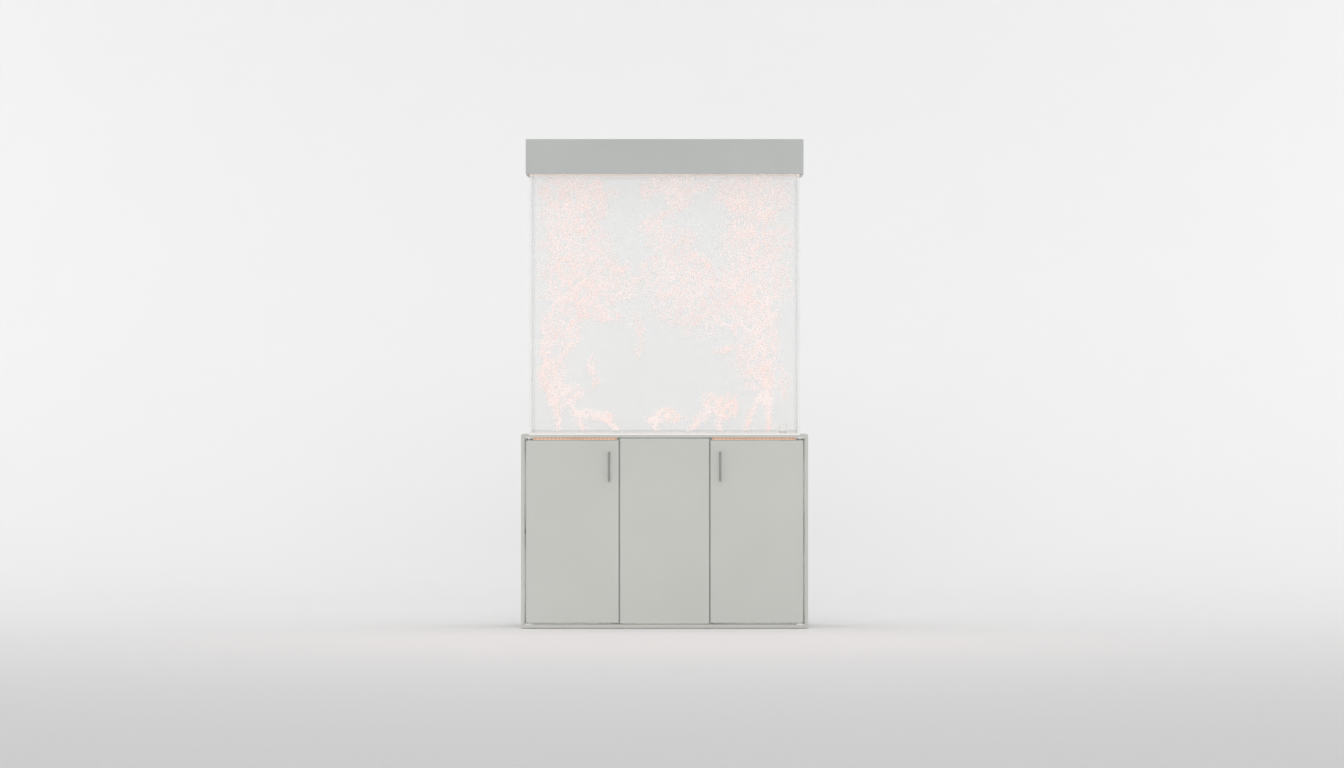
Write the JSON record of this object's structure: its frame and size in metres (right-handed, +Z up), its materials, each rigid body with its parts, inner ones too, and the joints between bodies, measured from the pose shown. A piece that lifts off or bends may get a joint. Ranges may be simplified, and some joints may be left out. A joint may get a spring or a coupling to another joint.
{
  "type": "aquarium on stand",
  "caption": "Tall clear display aquarium with coral-like growths on a cabinet with two hinged doors, a fixed centre panel and a lift-off lighting hood with a hinged lid.",
  "frame": {"origin": "on the floor, at the centre of the object's outermost width and depth, handles included", "axes": "+Z up; the doors and handles face -Y; +X to the right of someone facing the doors"},
  "size_m": [1.2, 0.6, 2.0528],
  "materials": {
    "cabinet_board": "matt lacquered board, light warm grey",
    "door_lacquer": "matt lacquered front, light warm grey",
    "hood_lacquer": "matt lacquered board, mid cool grey",
    "low_iron_glass": "polished low-iron glass",
    "clear_silicone": "clear silicone sealant",
    "white_trim": "satin moulded trim",
    "foam_mat": "closed-cell foam",
    "brushed_steel": "fine brushed, dark satin",
    "plated_steel": "zinc plated",
    "beech_dowel": "raw fluted beech",
    "glide_felt": "hard moulded glide",
    "anodised_aluminium": "satin anodised",
    "warm_lens": "opal diffuser, warm light",
    "hood_lens": "opal diffuser, white light",
    "grey_fitting": "moulded light grey",
    "growth_resin": "granular coral-pink cast resin",
    "filter_dark": "fine moulded texture",
    "filter_media_foam": "open-cell foam",
    "filter_accent": "moulded grey",
    "shaft_ceramic": "ground white",
    "hose_vinyl": "smooth flexible hose"
  },
  "bodies": {
    "root": {"cabinet_left_side": "cabinet_board", "cabinet_right_side": "cabinet_board", "cabinet_top": "cabinet_board", "cabinet_bottom": "cabinet_board", "cabinet_back": "cabinet_board", "left_divider": "cabinet_board", "right_divider": "cabinet_board", "left_shelf": "cabinet_board", "centre_front_panel": "door_lacquer", "tank_front_pane": "low_iron_glass", "tank_back_pane": "low_iron_glass", "tank_left_pane": "low_iron_glass", "tank_right_pane": "low_iron_glass", "tank_bottom_pane": "low_iron_glass", "tank_brace": "low_iron_glass", "tank_seams": "clear_silicone", "tank_rim_trim": "white_trim", "cable_port_grommet": "white_trim", "tank_mat": "foam_mat", "door_pivots": "plated_steel", "cabinet_hardware": "plated_steel", "carcass_dowels": "beech_dowel", "floor_glides": "glide_felt", "accent_light_channels": "anodised_aluminium", "accent_light_lenses": "warm_lens", "bulkhead_fittings": "grey_fitting", "bulkhead_strainers": "grey_fitting", "left_growth": "growth_resin", "right_growth": "growth_resin", "small_growths": "growth_resin", "filter_canister": "filter_dark", "filter_head": "filter_dark", "filter_media": "filter_media_foam", "impeller_shaft": "shaft_ceramic", "intake_hose": "hose_vinyl", "return_hose": "hose_vinyl"},
    "left_door": {"left_door_panel": "door_lacquer", "left_door_handle": "brushed_steel", "left_door_fittings": "plated_steel"},
    "right_door": {"right_door_panel": "door_lacquer", "right_door_handle": "brushed_steel", "right_door_fittings": "plated_steel"},
    "hood": {"hood_front": "hood_lacquer", "hood_back": "hood_lacquer", "hood_left_side": "hood_lacquer", "hood_right_side": "hood_lacquer", "hood_rear_strip": "hood_lacquer", "hood_ledges": "hood_lacquer", "lid_hinge_fixed_leaves": "plated_steel", "light_housing": "anodised_aluminium", "light_lens": "hood_lens", "hood_cable_gland": "white_trim"},
    "lid": {"hood_lid": "hood_lacquer", "lid_hinge_lid_leaves": "plated_steel"},
    "impeller": {"filter_impeller": "filter_accent"},
    "primer": {"filter_primer": "filter_accent"},
    "valve_lever": {"filter_valve_lever": "filter_accent"},
    "clamp_left": {"filter_clamp_left": "filter_accent"},
    "clamp_right": {"filter_clamp_right": "filter_accent"}
  },
  "joints": [
    {"name": "left_door_hinge", "type": "hinge", "parent": "root", "child": "left_door", "pos_m": [-0.567, -0.261, 0.405], "axis": [0, 0, -1], "range_deg": [0, 105]},
    {"name": "right_door_hinge", "type": "hinge", "parent": "root", "child": "right_door", "pos_m": [0.567, -0.261, 0.405], "axis": [0, 0, 1], "range_deg": [0, 105]},
    {"name": "hood_lift", "type": "slide", "parent": "root", "child": "hood", "axis": [0, 0, 1], "range_m": [0, 0.2]},
    {"name": "lid_hinge", "type": "hinge", "parent": "hood", "child": "lid", "pos_m": [0, 0.147, 2.0498], "axis": [-1, 0, 0], "range_deg": [0, 100]},
    {"name": "impeller_spin", "type": "hinge", "parent": "root", "child": "impeller", "pos_m": [0.385, 0.12, 0.31], "axis": [0, 0, 1], "continuous": true},
    {"name": "primer_press", "type": "slide", "parent": "root", "child": "primer", "axis": [0, 0, -1], "range_m": [0, 0.015], "stiffness_N_per_m": 400, "springref_m": -0.005},
    {"name": "valve_turn", "type": "hinge", "parent": "root", "child": "valve_lever", "pos_m": [0.4165, 0.12, 0.385], "axis": [-1, 0, 0], "range_deg": [0, 90]},
    {"name": "clamp_left_hinge", "type": "hinge", "parent": "root", "child": "clamp_left", "pos_m": [0.277, 0.12, 0.312], "axis": [0, 1, 0], "range_deg": [0, 100]},
    {"name": "clamp_right_hinge", "type": "hinge", "parent": "root", "child": "clamp_right", "pos_m": [0.493, 0.12, 0.312], "axis": [0, -1, 0], "range_deg": [0, 100]}
  ]
}
